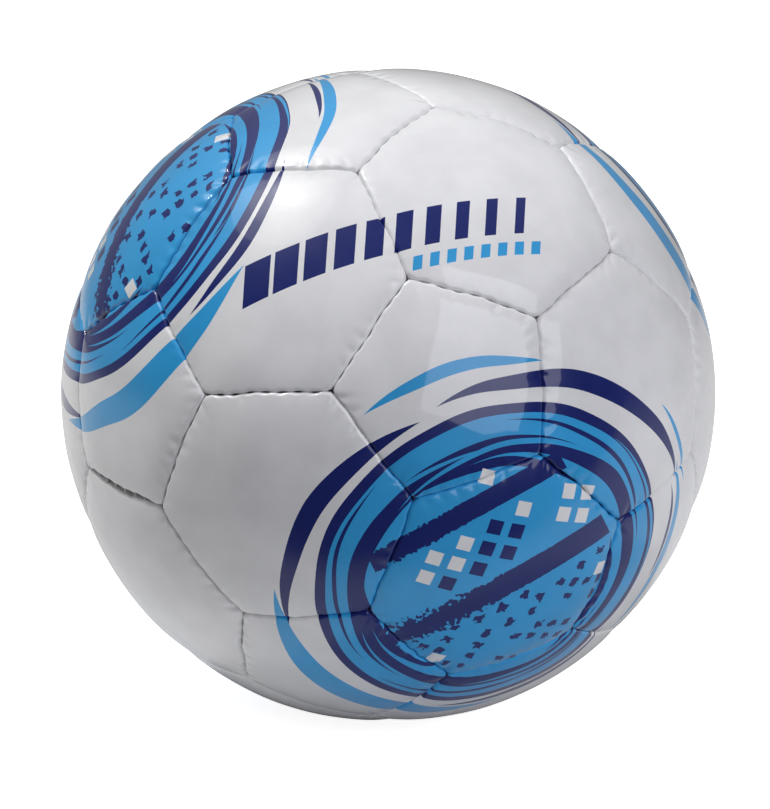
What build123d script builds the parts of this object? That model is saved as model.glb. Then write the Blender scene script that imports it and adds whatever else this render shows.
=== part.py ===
from build123d import *
import math
import os

# Futsal ball, size 4: 32 hand-stitched panels over a low-bounce rubber bladder.
# Millimetres, +Z up. The origin is the centre of the ball.

# ---- Driving dimensions --------------------------------------------------------------

CIRCUMFERENCE = 630.0       # size 4 futsal ball, middle of the allowed 620 to 640
BALL_RADIUS = CIRCUMFERENCE / (2 * math.pi)

# How the ball lies: the pentagon that starts on top is tilted down, then turned about Z.
BALL_SPIN = 53.1            # degrees, about the first pentagon's own axis
BALL_TILT = 77.15           # degrees from +Z down to the first pentagon
BALL_TURN = -79.37          # degrees about +Z
VALVE_SIDE = Vector(0, 1, 0)    # the valve is in the hexagon that faces this way

CROWN_SHARE = 0.90          # radius of a panel's own curve, as a share of the ball's
SEAM_GAP = 0.30             # between the turned-in edges of two panels
EDGE_ROLL = 1.6             # radius where a panel rolls over into its seam
COVER = 1.4                 # synthetic leather
FOAM = 1.2                  # soft layer laminated under the leather
CLOTH = 1.6                 # four plies of laminated cloth
GLUE_LINE = 0.05            # between laminated layers
FLANGE_DEPTH = 5.6          # how far below the ball's surface the turned-in edges end
LAYER_INSET = 1.1           # foam and cloth stop this far short of the turned-in edges

STITCHES_PER_SEAM = 8
STITCH_PITCH = 4.95
STITCH_DEPTH = 3.1          # below the ball's surface
RUN_RADIUS = 0.40           # thread lying along the inside of a flange
PULLED_RADIUS = 0.36        # the same thread pulled tight through a needle hole
NEEDLE_HOLE_RADIUS = 0.46
RUN_CLEARANCE = 0.05        # between a run of thread and the flange

BLADDER_CLEARANCE = 0.2     # between flanges and bladder
BLADDER_WALL = 1.0
PATCH_RADIUS = 22.0
VALVE_PATCH_THICK = 0.6
BALANCE_PATCH_THICK = 1.0

NECK_RADIUS = 4.5
NECK_CLEARANCE = 0.15       # in the holes through panel, layers, patch and bladder
NECK_RECESS = 0.7           # the neck's end is this far below the panel's crown
NECK_EDGE_ROLL = 0.5
VALVE_LENGTH = 22.0
FOOT_RADIUS = 13.0
FOOT_THICK = 1.5
CORE_RADIUS = 2.5
CORE_LENGTH = 18.0
CORE_HEAD_RADIUS = 3.3
CORE_HEAD_DEPTH = 1.6
CORE_CLEARANCE = 0.05
CORE_RECESS = 0.3           # the core's face is this far below the neck's end
NEEDLE_BORE_RADIUS = 1.1    # takes a 2 mm inflating needle
NEEDLE_BORE_DEPTH = 9.0     # below it the rubber is pressed shut
NEEDLE_LEAD_IN = 0.4

DAMPER_RADIUS = 16.0        # foam pads inside the bladder that deaden the bounce
DAMPER_THICK = 15.0
DAMPER_EDGE_ROLL = 5.0
DAMPER_CLEARANCE = 1.0
DAMPER_RING_COUNT = 6
DAMPER_RING_ANGLE = 27.0    # degrees round from the bottom of the bladder

# ---- Worked out from those -----------------------------------------------------------

CROWN_RADIUS = CROWN_SHARE * BALL_RADIUS
CROWN_CENTRE = BALL_RADIUS - CROWN_RADIUS
FOAM_TOP = COVER + GLUE_LINE
CLOTH_TOP = FOAM_TOP + FOAM + GLUE_LINE
LAYER_OFFSET = SEAM_GAP / 2 + COVER + LAYER_INSET
STITCH_RADIUS = BALL_RADIUS - STITCH_DEPTH
RUN_OFFSET = SEAM_GAP / 2 + COVER + RUN_CLEARANCE + RUN_RADIUS
BLADDER_RADIUS = BALL_RADIUS - FLANGE_DEPTH - BLADDER_CLEARANCE
BLADDER_INSIDE = BLADDER_RADIUS - BLADDER_WALL
NECK_HOLE_RADIUS = NECK_RADIUS + NECK_CLEARANCE
NECK_TOP = BALL_RADIUS - NECK_RECESS
CORE_TOP = NECK_TOP - CORE_RECESS

PENTAGON = 5
HEXAGON = 6
CENTRE = Vector(0, 0, 0)
HALF_EDGE_ANGLE = math.asin(2 / math.sqrt(58 + 18 * math.sqrt(5)))
NEIGHBOUR_DISTANCE = 1.1    # neighbouring pentagon centres are 1.05 apart on a unit sphere


# ---- Layout: a truncated icosahedron -------------------------------------------------

def as_the_ball_lies(direction):
    """Turn a direction of the upright layout to the way the ball lies."""
    spun = direction.rotate(Axis.Z, BALL_SPIN)
    tilted = spun.rotate(Axis.Y, BALL_TILT)
    return tilted.rotate(Axis.Z, BALL_TURN)


def pentagon_centres():
    """Unit vectors to the 12 pentagons: a pole, two rings of five and the other pole."""
    upright = Vector(0, 0, 1)
    ring_tilt = 90 - math.degrees(math.atan(0.5))
    centres = [upright]
    for tilt, start in ((ring_tilt, 0), (180 - ring_tilt, 36)):
        for step in range(5):
            centres.append(upright.rotate(Axis.Y, tilt).rotate(Axis.Z, start + 72 * step))
    centres.append(upright * -1)
    return [as_the_ball_lies(centre) for centre in centres]


def are_neighbours(first, second):
    return 0 < (first - second).length < NEIGHBOUR_DISTANCE


def neighbour_triples(pentagons):
    """The three pentagons round each of the 20 hexagons."""
    triples = []
    for i, first in enumerate(pentagons):
        for j, second in enumerate(pentagons[i + 1:], i + 1):
            for third in pentagons[j + 1:]:
                if (are_neighbours(first, second) and are_neighbours(second, third)
                        and are_neighbours(first, third)):
                    triples.append((first, second, third))
    return triples


def seam_corner(near, far):
    """The seam junction a third of the way from one pentagon's centre to the next."""
    return (near * 2 + far).normalized()


def facing(centre, side):
    """A location at the ball's centre: Z towards a panel or seam, X towards the side."""
    flat_side = side - centre * side.dot(centre)
    return Location(Plane(CENTRE, x_dir=flat_side.normalized(), z_dir=centre))


def pentagon_locations(pentagons):
    locations = []
    for centre in pentagons:
        neighbour = next(other for other in pentagons if are_neighbours(centre, other))
        locations.append(facing(centre, seam_corner(centre, neighbour)))
    return locations


def hexagon_locations(triples):
    locations = []
    for first, second, third in triples:
        centre = (first + second + third).normalized()
        locations.append(facing(centre, seam_corner(first, second)))
    return locations


def seam_location(start, end):
    return facing((start + end).normalized(), end - start)


def pentagon_seam_locations(triples):
    """The 60 seams between a pentagon and a hexagon."""
    locations = []
    for triple in triples:
        for k, near in enumerate(triple):
            left = triple[(k + 1) % 3]
            right = triple[(k + 2) % 3]
            locations.append(seam_location(seam_corner(near, left), seam_corner(near, right)))
    return locations


def hexagon_seam_locations(pentagons):
    """The 30 seams between two hexagons."""
    locations = []
    for i, first in enumerate(pentagons):
        for second in pentagons[i + 1:]:
            if are_neighbours(first, second):
                locations.append(seam_location(seam_corner(first, second),
                                               seam_corner(second, first)))
    return locations


# ---- Panels: each is made about +Z, with a corner towards +X --------------------------

def side_angle(sides):
    """Angle in radians from a panel's axis to the plane of each of its seams."""
    corner_angle = math.asin(math.sin(HALF_EDGE_ANGLE) / math.sin(math.pi / sides))
    return math.atan(math.tan(corner_angle) * math.cos(math.pi / sides))


def ball(radius):
    """A sphere whose poles and seam line lie away from +Z, where pieces are cut from it."""
    return Rot(90, 0, 0) * Sphere(radius)


def crown_ball(depth):
    """The ball whose surface is a panel's own curve, taken in by the depth."""
    return Pos(0, 0, CROWN_CENTRE) * ball(CROWN_RADIUS - depth)


def side_location(sides, side):
    """Z towards the middle of one side's seam, Y out of the panel across that seam."""
    turn = Rot(0, 0, 360 * (side + 0.5) / sides - 90)
    return turn * Rot(-math.degrees(side_angle(sides)), 0, 0)


def trimmed(solid, sides, offset):
    """What of the solid lies inside the panel's seam planes by the offset."""
    facing_out = Rot(-90, 0, 0)
    for side in range(sides):
        cut = side_location(sides, side) * Pos(0, -offset, 0) * facing_out
        solid = split(solid, Plane(cut), keep=Keep.BOTTOM)
    return solid


def stitch_angles():
    """Angles in degrees along a seam, seen from the ball's centre."""
    step = math.degrees(STITCH_PITCH / STITCH_RADIUS)
    return [(k - (STITCHES_PER_SEAM - 1) / 2) * step for k in range(STITCHES_PER_SEAM)]


def needle_holes(sides):
    """One pin through the panel's own flange for each needle hole."""
    pin = Cylinder(NEEDLE_HOLE_RADIUS, 2 * COVER)
    flange_middle = -(SEAM_GAP + COVER) / 2
    pins = []
    for side in range(sides):
        for angle in stitch_angles():
            place = (side_location(sides, side) * Rot(0, angle, 0)
                     * Pos(0, flange_middle, STITCH_RADIUS) * Rot(90, 0, 0))
            pins.append(place * pin)
    return pins


def neck_hole():
    return Pos(0, 0, BALL_RADIUS) * Cylinder(NECK_HOLE_RADIUS, 0.4 * BALL_RADIUS)


def cover(sides):
    """A panel's leather: a crowned top that rolls over into the stitched flanges."""
    blank = trimmed(crown_ball(0), sides, SEAM_GAP / 2)
    rim = blank.faces().filter_by(GeomType.SPHERE).edges()
    rolled = fillet(rim, EDGE_ROLL)
    pocket = trimmed(crown_ball(COVER), sides, SEAM_GAP / 2 + COVER)
    flanged = rolled - pocket - ball(BALL_RADIUS - FLANGE_DEPTH)
    return flanged - needle_holes(sides)


def layer(sides, top, thickness):
    """A sheet laminated under the leather, inside the ring of flanges."""
    return trimmed(crown_ball(top), sides, LAYER_OFFSET) - crown_ball(top + thickness)


# ---- Stitching: one seam's thread, made with Z at the seam's middle and X along it ----

def thread_run(offset):
    """The thread that lies along the inside of one flange."""
    last = stitch_angles()[-1]
    overrun = math.degrees(1.5 * RUN_RADIUS / STITCH_RADIUS)
    start = Rot(0, -last - overrun, 0) * Pos(0, offset, STITCH_RADIUS) * Rot(0, 90, 0)
    return revolve(start * Circle(RUN_RADIUS), Axis.Y, 2 * (last + overrun))


def seam_thread():
    """Both threads of a saddle stitch: runs on each side, joined through the holes."""
    thread = thread_run(RUN_OFFSET)
    pulled = Rot(90, 0, 0) * Cylinder(PULLED_RADIUS, 2 * RUN_OFFSET)
    for angle in stitch_angles():
        thread += Rot(0, angle, 0) * Pos(0, 0, STITCH_RADIUS) * pulled
    return thread + thread_run(-RUN_OFFSET)


# ---- Inside: bladder, patches, valve and damping foam, made about +Z ------------------

def shell(outer, thickness):
    return ball(outer) - ball(outer - thickness)


def cap(outer, thickness, radius):
    """A round piece of a spherical shell, centred on +Z."""
    return shell(outer, thickness) & Pos(0, 0, outer) * Cylinder(radius, outer)


def bladder():
    return shell(BLADDER_RADIUS, BLADDER_WALL) - neck_hole()


def valve_patch():
    outer = BLADDER_RADIUS + GLUE_LINE + VALVE_PATCH_THICK
    return cap(outer, VALVE_PATCH_THICK, PATCH_RADIUS) - neck_hole()


def balance_patch():
    outer = BLADDER_RADIUS + GLUE_LINE + BALANCE_PATCH_THICK
    return Rot(180, 0, 0) * cap(outer, BALANCE_PATCH_THICK, PATCH_RADIUS)


def hanging_cylinder(radius, top, length):
    return Pos(0, 0, top - length / 2) * Cylinder(radius, length)


def valve_body():
    """The moulded neck, with a foot bonded under the bladder's wall."""
    neck = hanging_cylinder(NECK_RADIUS, NECK_TOP, VALVE_LENGTH)
    neck = fillet(neck.edges().sort_by(Axis.Z)[-1], NECK_EDGE_ROLL)
    foot = cap(BLADDER_INSIDE - GLUE_LINE, FOOT_THICK, FOOT_RADIUS)
    head_seat = hanging_cylinder(CORE_HEAD_RADIUS + CORE_CLEARANCE, NECK_TOP,
                                 CORE_RECESS + CORE_HEAD_DEPTH + CORE_CLEARANCE)
    core_seat = hanging_cylinder(CORE_RADIUS + CORE_CLEARANCE, NECK_TOP,
                                 CORE_RECESS + CORE_LENGTH + CORE_CLEARANCE)
    air_way = hanging_cylinder(NEEDLE_BORE_RADIUS, NECK_TOP, VALVE_LENGTH)
    return neck + foot - head_seat - core_seat - air_way


def valve_core():
    """The self-sealing plug that the inflating needle goes into."""
    stem = hanging_cylinder(CORE_RADIUS, CORE_TOP, CORE_LENGTH)
    head = hanging_cylinder(CORE_HEAD_RADIUS, CORE_TOP, CORE_HEAD_DEPTH)
    bore = hanging_cylinder(NEEDLE_BORE_RADIUS, CORE_TOP, NEEDLE_BORE_DEPTH)
    core = stem + head - bore
    mouth = core.faces().sort_by(Axis.Z)[-1].inner_wires().edges()
    return chamfer(mouth, NEEDLE_LEAD_IN)


def damping_foam():
    """Rounded foam pads lying in the bottom of the bladder."""
    reach = math.sqrt((BLADDER_INSIDE - DAMPER_CLEARANCE) ** 2 - DAMPER_RADIUS ** 2)
    block = Cylinder(DAMPER_RADIUS, DAMPER_THICK)
    pad = Pos(0, 0, DAMPER_THICK / 2 - reach) * fillet(block.edges(), DAMPER_EDGE_ROLL)
    pads = [pad]
    for k in range(DAMPER_RING_COUNT):
        turn = Rot(0, 0, 360 * k / DAMPER_RING_COUNT)
        pads.append(turn * Rot(0, DAMPER_RING_ANGLE, 0) * pad)
    return pads


# ---- Assembly ------------------------------------------------------------------------

def write(name, *solids):
    whole = Compound(children=list(solids)) if len(solids) > 1 else solids[0]
    export_step(whole, f"parts/{name}.step")


def write_panels(name, leather, locations):
    for number, place in enumerate(locations, 1):
        write(f"{name}_{number:02d}", place * leather)


def main():
    os.makedirs("parts", exist_ok=True)
    pentagons = pentagon_centres()
    triples = neighbour_triples(pentagons)
    pentagon_places = pentagon_locations(pentagons)
    hexagon_places = hexagon_locations(triples)
    hexagon_places.sort(key=lambda place: place.z_axis.direction.dot(VALVE_SIDE))
    valve_place = hexagon_places.pop()

    hexagon_cover = cover(HEXAGON)
    write_panels("pentagon_panel", cover(PENTAGON), pentagon_places)
    write_panels("hexagon_panel", hexagon_cover, hexagon_places)
    write("hexagon_valve_panel", valve_place * (hexagon_cover - neck_hole()))

    for name, top, thickness in (("foam", FOAM_TOP, FOAM), ("cloth", CLOTH_TOP, CLOTH)):
        pentagon_layer = layer(PENTAGON, top, thickness)
        hexagon_layer = layer(HEXAGON, top, thickness)
        write(f"pentagon_{name}_layers", *[place * pentagon_layer for place in pentagon_places])
        write(f"hexagon_{name}_layers", valve_place * (hexagon_layer - neck_hole()),
              *[place * hexagon_layer for place in hexagon_places])

    thread = seam_thread()
    write("pentagon_seam_thread", *[place * thread for place in pentagon_seam_locations(triples)])
    write("hexagon_seam_thread", *[place * thread for place in hexagon_seam_locations(pentagons)])

    write("bladder", valve_place * bladder())
    write("valve_patch", valve_place * valve_patch())
    write("balance_patch", valve_place * balance_patch())
    write("valve_body", valve_place * valve_body())
    write("valve_core", valve_place * valve_core())
    write("damping_foam", *damping_foam())


main()
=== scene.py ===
import math
import bpy
import numpy as np
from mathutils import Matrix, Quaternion, Vector


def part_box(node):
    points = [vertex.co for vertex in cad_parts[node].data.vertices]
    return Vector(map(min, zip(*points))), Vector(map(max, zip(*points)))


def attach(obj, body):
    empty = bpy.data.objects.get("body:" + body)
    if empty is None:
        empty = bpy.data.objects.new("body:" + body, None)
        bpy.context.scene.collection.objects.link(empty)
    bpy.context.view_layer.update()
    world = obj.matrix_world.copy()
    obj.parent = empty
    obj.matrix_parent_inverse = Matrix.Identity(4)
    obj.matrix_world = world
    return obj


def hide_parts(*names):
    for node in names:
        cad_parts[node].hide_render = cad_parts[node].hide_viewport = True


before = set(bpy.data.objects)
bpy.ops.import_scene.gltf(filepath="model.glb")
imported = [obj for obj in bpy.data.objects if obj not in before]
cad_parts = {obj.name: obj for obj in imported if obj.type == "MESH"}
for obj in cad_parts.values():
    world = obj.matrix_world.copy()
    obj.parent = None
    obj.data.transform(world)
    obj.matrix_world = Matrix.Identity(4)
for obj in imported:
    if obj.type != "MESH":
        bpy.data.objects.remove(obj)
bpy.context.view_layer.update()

# A size 4 futsal ball, in metres, in the frame of the CAD model. The panels, the thread and
# the foam pads are rebuilt in finer detail. The bladder, the layers under the panels, the
# patches and the valve are the CAD nodes.

MM = 0.001
SEED = 11
SWELL_SEED = 5

# ---- Sizes that part.py also has ------------------------------------------------------

SEAM_HALF_GAP = 0.15 * MM
COVER = 1.4 * MM
FLANGE_DEPTH = 5.6 * MM
STITCHES = 8
STITCH_PITCH = 4.95 * MM
STITCH_DEPTH = 3.1 * MM
RUN_OFFSET = 2.0 * MM           # from the seam's plane to the thread's run

# ---- How the panels lie, pull and pucker ----------------------------------------------

CROWN_SHARE = 0.95              # radius of a panel's own curve, as a share of the ball's
ROLL = 1.4 * MM                 # radius of the roll over the panel's edge
PILLOW_DROP = 0.85 * MM         # extra fall of a panel towards its seams
PILLOW_REACH = 3.0 * MM
SCALLOP_OPEN = 0.31 * MM        # how far a flange stands back between two stitches
SCALLOP_TIGHT = -0.20 * MM      # less than nothing where a stitch presses it on the other
TOUCHING = 0.01 * MM
STITCH_REACH = 1.25 * MM        # along the seam
PUCKER_DEPTH = 0.25 * MM
OPENING = 0.85 * MM             # how far the slack seam's flanges stand back
SLACK_RISE = 1.3 * MM           # how far that seam's thread stands up in the opening
PUCKER_REACH = 2.2 * MM         # in from the seam
BULGE = 0.16 * MM               # how far the edge swells where no stitch pulls it
BULGE_REACH = 2.6 * MM
STRAY_REACH = 3.5 * MM          # how far in a seam's waviness shows on the panel
FLANGE_OPEN_MOST = 0.9 * MM
CORNER_BACK = 0.20 * MM         # how far a panel's corner stands back from the junction
CORNER_REACH = 1.0 * MM
WANDER = 0.22 * MM              # how far a seam strays to either side
GAP_FADE = 4 * MM               # from a corner, where a seam's own gap fades out
WANDER_FADE = 5 * MM
PUCKER_FADE = 2.5 * MM
SWELL = 0.13 * MM               # slow unevenness over a panel
SWELL_LENGTHS = (55, 38, 24, 17)    # of its waves, in millimetres
PANEL_SINK = 0.22 * MM          # the most that one panel sits lower than another
SIDE_SAMPLES = 72               # points along one side of a panel
MIDDLE_SHARE = 0.30             # rings further in than this are evenly spaced
MIDDLE_RINGS = 12
SHOULDER_RINGS = 20             # from the middle to the roll, closer towards the edge
ROLL_STEPS = 9
VALVE_NODE = "hexagon_valve_panel"
VALVE_HOLE = 4.65 * MM
LIP = 0.5 * MM                  # rounding of the hole's edge
ROOF = 0.5 * MM                 # inside a rolled edge, from its foot to where the flange starts

# ---- Colours, linear --------------------------------------------------------------------

WHITE = (0.82, 0.82, 0.83, 1)
NAVY = (0.007, 0.016, 0.145, 1)
BLUE = (0.034, 0.36, 0.74, 1)
# Grey of the dirt and the painted shade deep in the seams
SEAM_DIRT_AND_SHADE_GREY = (0.52, 0.51, 0.49, 1)

# ---- Camera -------------------------------------------------------------------------------

CAMERA_DISTANCE = 1.80
CAMERA_ELEVATION = 12.0
BALL_SHARE_OF_WIDTH = 0.8516    # the ball's diameter in the frame's width
FRAME_ASPECT = 770 / 809
AIM_RIGHT = -0.0108             # of the ball's radius, from its centre
AIM_UP = -0.0308

# ---- Studio -------------------------------------------------------------------------------

KEY_DIRECTION = (-0.45, 0.07, 0.89)
KEY_DISTANCE = 2.0
KEY_STEPS = ((0.26, 125), (0.5, 3), (0.9, 2.2), (1.4, 1.5))     # width, radiance: fades outwards
KEY_FLATNESS = 0.8              # the key light's height, as a share of its width
SOFTBOX_DIRECTION = (0.555, -0.755, 0.358)
SOFTBOX_DISTANCE = 1.7
SOFTBOX_SIZE = (1.30, 1.5)
SOFTBOX_RADIANCE = 2.8
SOFTBOX_COLOUR = (0.925, 0.93, 1.0)
SOFTBOX_ROLL = -26.0            # degrees
DOME_FRONT = 0.03               # brightness of the room in front of the ball, behind and above
DOME_BACK = 0.28
DOME_TOP = 0.38
FLOOR_HALF = 6.0
FLOOR_CUTS = 24
PAPER_FRONT = -0.16             # where the white paper under the ball ends, in front of it
PAPER_TONE = 0.76
DARK_FLOOR_TONE = 0.06          # beyond the paper
SEEN_FLOOR_TONE = 0.88          # of the whole floor, as the camera sees it
FLOOR_GLOW = 0.88


def unit(v):
    return v / np.linalg.norm(v, axis=-1, keepdims=True)


# ---- Layout, read from the CAD panels -------------------------------------------------

def cad_vertices(node):
    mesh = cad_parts[node].data
    points = np.zeros(len(mesh.vertices) * 3)
    mesh.vertices.foreach_get("co", points)
    return points.reshape(-1, 3)


def panel_axis(node):
    """Unit vector from the ball's centre to the middle of a CAD panel."""
    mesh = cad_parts[node].data
    areas = np.zeros(len(mesh.polygons))
    centres = np.zeros(len(mesh.polygons) * 3)
    mesh.polygons.foreach_get("area", areas)
    mesh.polygons.foreach_get("center", centres)
    return unit((centres.reshape(-1, 3) * areas[:, None]).sum(0))


PENTAGON_NODES = sorted(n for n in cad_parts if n.startswith("pentagon_panel"))
HEXAGON_NODES = sorted(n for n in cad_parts
                       if n.startswith("hexagon_panel") or n == "hexagon_valve_panel")
PENTAGONS = np.array([panel_axis(n) for n in PENTAGON_NODES])
BALL_RADIUS = np.linalg.norm(cad_vertices(PENTAGON_NODES[0]), axis=1).max()


def neighbours(i):
    distance = np.linalg.norm(PENTAGONS - PENTAGONS[i], axis=1)
    return [j for j in range(12) if 0 < distance[j] < 1.2]


def corner(near, far):
    return unit(2 * PENTAGONS[near] + PENTAGONS[far])


def in_order(axis, corners):
    """The corners in turn anticlockwise, seen from outside."""
    side = unit(corners[0] - axis * (corners[0] @ axis))
    up = np.cross(axis, side)
    return sorted(corners, key=lambda c: math.atan2(c @ up, c @ side) % (2 * math.pi - 1e-6))


def pentagon_corners(i):
    return in_order(PENTAGONS[i], [corner(i, j) for j in neighbours(i)])


def hexagon_corners(axis):
    near = sorted(range(12), key=lambda i: -(PENTAGONS[i] @ axis))[:3]
    pairs = [(a, b) for a in near for b in near if a != b]
    return in_order(axis, [corner(a, b) for a, b in pairs])


def all_panels():
    """(node, axis, corners) of each of the 32 panels."""
    panels = []
    for i, node in enumerate(PENTAGON_NODES):
        panels.append((node, PENTAGONS[i], pentagon_corners(i)))
    for node in HEXAGON_NODES:
        rough = panel_axis(node)
        near = sorted(range(12), key=lambda i: -(PENTAGONS[i] @ rough))[:3]
        axis = unit(PENTAGONS[near].sum(0))
        panels.append((node, axis, hexagon_corners(axis)))
    return panels


def all_seams(panels):
    """(start, end) directions of each of the 90 seams."""
    seams = []
    for _, _, corners in panels:
        for start, end in zip(corners, corners[1:] + corners[:1]):
            if all(np.linalg.norm(start + end - s - e) > 1e-3 for s, e in seams):
                seams.append((start, end))
    return seams


PANELS = all_panels()
SEAMS = all_seams(PANELS)
SEAM_MIDDLES = np.array([unit(s + e) for s, e in SEAMS])
HALF_SEAM = math.asin(np.linalg.norm(SEAMS[0][0] - SEAMS[0][1]) / 2)    # radians
STITCH_RADIUS = BALL_RADIUS - STITCH_DEPTH
STITCH_ANGLES = (np.arange(STITCHES) - (STITCHES - 1) / 2) * STITCH_PITCH / STITCH_RADIUS


# ---- How tightly each seam is pulled ------------------------------------------------------

rng = np.random.default_rng(SEED)
SEAM_OPEN = rng.uniform(0.6, 1.5, 90)               # share of the usual scallop
STITCH_PULL = rng.uniform(0.1, 1.4, (90, 2, STITCHES)) * rng.uniform(0.25, 1.2, (90, 1, 1))
SEAM_LEAN = rng.uniform(-0.5, 0.5, 90)              # one side's pucker deeper than the other's

# Seams that are sewn unlike the rest: towards the middle, share of the usual gap and pull.
SEAM_HABITS = (((0.57, -0.67, 0.48), 0.70, 0.8), ((-0.04, -0.91, 0.41), 1.0, 0.45),
               ((0.26, -0.84, 0.48), 1.35, 0.8), ((-0.44, -0.60, -0.67), 1.5, 1.0),
               ((-0.58, -0.73, -0.36), 1.3, 1.6), ((-0.64, -0.77, 0.02), 1.4, 1.2))
CRINKLED = (0.34, -0.86, -0.39)     # towards the hexagon whose seams are all pulled hardest
for direction, gap, tightness in SEAM_HABITS:
    seam = int((SEAM_MIDDLES @ np.array(direction)).argmax())
    SEAM_OPEN[seam] = gap
    STITCH_PULL[seam] *= tightness
STITCH_PULL[(SEAM_MIDDLES @ unit(np.array(CRINKLED))).argsort()[-6:]] *= 1.5
OPEN_SEAM = unit(np.array([-0.81, -0.56, -0.17]))   # the one seam whose stitches have slackened
SLACK = int((SEAM_MIDDLES @ OPEN_SEAM).argmax())


def ease(x):
    x = np.clip(x, 0, 1)
    return x * x * (3 - 2 * x)


def pull(seam, side, angle):
    """How much the stitches pull at an angle along a seam: most at a stitch, 0 between."""
    near = (angle[:, None] - STITCH_ANGLES) * STITCH_RADIUS / STITCH_REACH
    return (np.exp(-near ** 2) * STITCH_PULL[seam, side]).sum(1)


def stand_back(seam, angle):
    """How far the flange stands back from the seam's plane."""
    near = (angle[:, None] - STITCH_ANGLES) * STITCH_RADIUS / STITCH_REACH
    held = np.exp(-near ** 2).max(1)
    to_corner = (HALF_SEAM - abs(angle)) * STITCH_RADIUS
    own = ease(to_corner / GAP_FADE)                # seams agree where they meet
    share = 1 + (SEAM_OPEN[seam] - 1) * own
    gap = SCALLOP_TIGHT + SCALLOP_OPEN * share * (1 - held)
    if seam == SLACK:
        gap = gap + OPENING * own * (1 - (angle / HALF_SEAM) ** 2)
    return gap + CORNER_BACK * np.exp(-(to_corner / CORNER_REACH) ** 2)


def stray(seam, side, angle):
    """How far the seam's line lies inside the panel on that side of it."""
    phase = STITCH_PULL[seam].sum() * 7
    wave = np.sin(angle / HALF_SEAM * 4.4 + phase) + 0.6 * np.sin(angle / HALF_SEAM * 9 + 2 * phase)
    fade = ease((HALF_SEAM - abs(angle)) * STITCH_RADIUS / WANDER_FADE)
    return (WANDER if side == 0 else -WANDER) * wave * fade


def swell(directions):
    """Slow unevenness, the same for every piece at a place."""
    waves = np.random.default_rng(SWELL_SEED)
    total = 0
    for length in SWELL_LENGTHS:
        for _ in range(3):
            way = unit(waves.normal(size=3)) * BALL_RADIUS / MM / length * 2 * math.pi
            total = total + np.sin(directions @ way + waves.uniform(0, 6.28)) * length / SWELL_LENGTHS[0]
    return total * SWELL / 2.5


def crown(directions, axis):
    """Distance from the ball's centre to a panel's own curve."""
    curve = CROWN_SHARE * BALL_RADIUS
    offset = BALL_RADIUS - curve
    cosine = directions @ axis
    return offset * cosine + np.sqrt(curve ** 2 - offset ** 2 * (1 - cosine ** 2))


# ---- Mesh helpers -------------------------------------------------------------------------

def make_object(name, points, faces, material):
    mesh = bpy.data.meshes.new(name)
    mesh.from_pydata(np.asarray(points).tolist(), [], faces)
    mesh.validate()
    mesh.shade_smooth()
    mesh.materials.append(material)
    made = bpy.data.objects.new(name, mesh)
    bpy.context.scene.collection.objects.link(made)
    return made


def ring_faces(rings, count, closed=False):
    """Quads between rings of points, with the last ring joined to the first or both capped."""
    k = np.arange(count)
    n = (k + 1) % count
    faces = []
    for r in range(rings if closed else rings - 1):
        here, there = r * count, (r + 1) % rings * count
        faces += np.stack([here + k, there + k, there + n, here + n], axis=1).tolist()
    if not closed:
        first_pole = rings * count
        last = first_pole - count
        faces += np.stack([np.full(count, first_pole), k, n], axis=1).tolist()
        faces += np.stack([np.full(count, first_pole + 1), last + n, last + k], axis=1).tolist()
    return faces


# ---- Panels -------------------------------------------------------------------------------

def perimeter(axis, corners):
    """Directions round a panel's edge, with each one's seam, side and angle along it."""
    step = np.arange(SIDE_SAMPLES) / SIDE_SAMPLES * 2 - 1
    along = 0.75 * step + 0.25 * np.sin(step * math.pi / 2)     # denser near the corners
    edge, seam_of, side_of, angle_of = [], [], [], []
    for start, end in zip(corners, corners[1:] + corners[:1]):
        middle = unit(start + end)
        seam = int((SEAM_MIDDLES @ middle).argmax())
        tangent = unit(end - start)
        angle = along * HALF_SEAM
        edge.append(np.outer(np.cos(angle), middle) + np.outer(np.sin(angle), tangent))
        same_way = (SEAMS[seam][1] - SEAMS[seam][0]) @ tangent > 0
        seam_of += [seam] * SIDE_SAMPLES
        side_of += [0 if same_way else 1] * SIDE_SAMPLES
        angle_of.append(angle if same_way else -angle)
    return np.vstack(edge), np.array(seam_of), np.array(side_of), np.concatenate(angle_of)


def inset(edge, axis, sine, distance, radius):
    """The directions that lie that far inside the seam's plane, at that radius."""
    share = distance / radius
    across = edge @ axis
    blend = (share ** 2 * across + share * np.sqrt(share ** 2 * across ** 2 + sine ** 2
             - share ** 2)) / (sine ** 2 - share ** 2)
    return unit(edge + axis * blend[:, None])


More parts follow.
